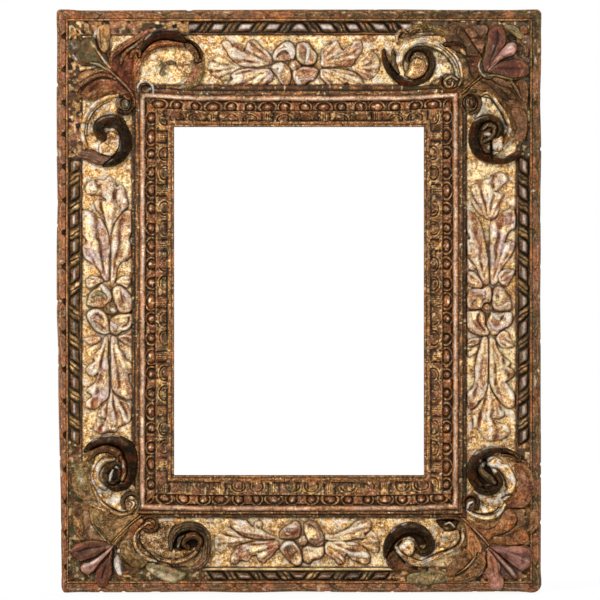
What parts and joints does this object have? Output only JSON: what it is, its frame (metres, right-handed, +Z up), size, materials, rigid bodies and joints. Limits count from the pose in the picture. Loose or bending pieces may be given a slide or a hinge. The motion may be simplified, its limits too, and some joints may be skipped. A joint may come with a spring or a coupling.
{
  "type": "ornate gilded picture frame",
  "caption": "Carved and gilded picture frame with twisted ribbon edge, rosettes and leaf sprays on a flat frieze, corner scrolls and palmettes, and a beaded inner moulding.",
  "frame": {"origin": "centre of the frame in the front view, on the back plane of the back frame", "axes": "+X to the right seen from the front, +Y towards the wall (the front faces -Y), +Z up"},
  "size_m": [0.582, 0.054, 0.7],
  "materials": {
    "pine_back_frame": "aged bare pine",
    "oak_pegs": "aged bare oak",
    "outer_band": "dark patinated gilding over red bole",
    "twisted_ribbon": "dark glazed carving with rubbed gold",
    "gilded_frieze": "worn water gilding, pale glazed relief",
    "inner_moulding": "worn gilding over red bole",
    "corner_leaf": "brown glazed carving with gold edges",
    "scroll": "dark glazed scroll with gold rims",
    "palmette": "maroon and pink glaze over silver leaf",
    "brass_buttons": "dull brass",
    "steel_hangers": "dull zinc plated",
    "steel_screws": "dull steel"
  },
  "bodies": {
    "frame": {"back_rail_bottom": "pine_back_frame", "back_rail_top": "pine_back_frame", "back_stile_left": "pine_back_frame", "back_stile_right": "pine_back_frame", "corner_leaf_bottom_left": "corner_leaf", "corner_leaf_bottom_right": "corner_leaf", "corner_leaf_top_left": "corner_leaf", "corner_leaf_top_right": "corner_leaf", "frieze_board_bottom": "gilded_frieze", "frieze_board_left": "gilded_frieze", "frieze_board_right": "gilded_frieze", "frieze_board_top": "gilded_frieze", "hanger_screws": "steel_screws", "inner_moulding_bottom": "inner_moulding", "inner_moulding_left": "inner_moulding", "inner_moulding_right": "inner_moulding", "inner_moulding_top": "inner_moulding", "lap_pegs": "oak_pegs", "outer_moulding_bottom": "outer_band", "outer_moulding_left": "outer_band", "outer_moulding_right": "outer_band", "outer_moulding_top": "outer_band", "palmette_bottom_left": "palmette", "palmette_bottom_right": "palmette", "palmette_top_left": "palmette", "palmette_top_right": "palmette", "rail_scroll_bottom_left": "scroll", "rail_scroll_bottom_right": "scroll", "rail_scroll_top_left": "scroll", "rail_scroll_top_right": "scroll", "stile_scroll_bottom_left": "scroll", "stile_scroll_bottom_right": "scroll", "stile_scroll_top_left": "scroll", "stile_scroll_top_right": "scroll", "strap_hanger_left": "steel_hangers", "strap_hanger_right": "steel_hangers", "turn_button_screws": "steel_screws", "twist_moulding_bottom": "twisted_ribbon", "twist_moulding_left": "twisted_ribbon", "twist_moulding_right": "twisted_ribbon", "twist_moulding_top": "twisted_ribbon"},
    "ring_left": {"d_ring_left": "steel_hangers"},
    "ring_right": {"d_ring_right": "steel_hangers"},
    "button_top": {"turn_button_top": "brass_buttons"},
    "button_bottom": {"turn_button_bottom": "brass_buttons"},
    "button_right_upper": {"turn_button_right_upper": "brass_buttons"},
    "button_right_lower": {"turn_button_right_lower": "brass_buttons"},
    "button_left_upper": {"turn_button_left_upper": "brass_buttons"},
    "button_left_lower": {"turn_button_left_lower": "brass_buttons"}
  },
  "joints": [
    {"name": "ring_left_swing", "type": "hinge", "parent": "frame", "child": "ring_left", "pos_m": [-0.219, 0.0029, 0.17], "axis": [0, 0, 1], "range_deg": [0, 180]},
    {"name": "ring_right_swing", "type": "hinge", "parent": "frame", "child": "ring_right", "pos_m": [0.219, 0.0029, 0.17], "axis": [0, 0, -1], "range_deg": [0, 180]},
    {"name": "button_top_turn", "type": "hinge", "parent": "frame", "child": "button_top", "pos_m": [0, 0.0013, 0.228], "axis": [0, 1, 0], "continuous": true},
    {"name": "button_bottom_turn", "type": "hinge", "parent": "frame", "child": "button_bottom", "pos_m": [0, 0.0013, -0.228], "axis": [0, 1, 0], "continuous": true},
    {"name": "button_right_upper_turn", "type": "hinge", "parent": "frame", "child": "button_right_upper", "pos_m": [0.169, 0.0013, 0.112], "axis": [0, 1, 0], "continuous": true},
    {"name": "button_right_lower_turn", "type": "hinge", "parent": "frame", "child": "button_right_lower", "pos_m": [0.169, 0.0013, -0.112], "axis": [0, 1, 0], "continuous": true},
    {"name": "button_left_upper_turn", "type": "hinge", "parent": "frame", "child": "button_left_upper", "pos_m": [-0.169, 0.0013, 0.112], "axis": [0, 1, 0], "continuous": true},
    {"name": "button_left_lower_turn", "type": "hinge", "parent": "frame", "child": "button_left_lower", "pos_m": [-0.169, 0.0013, -0.112], "axis": [0, 1, 0], "continuous": true}
  ]
}
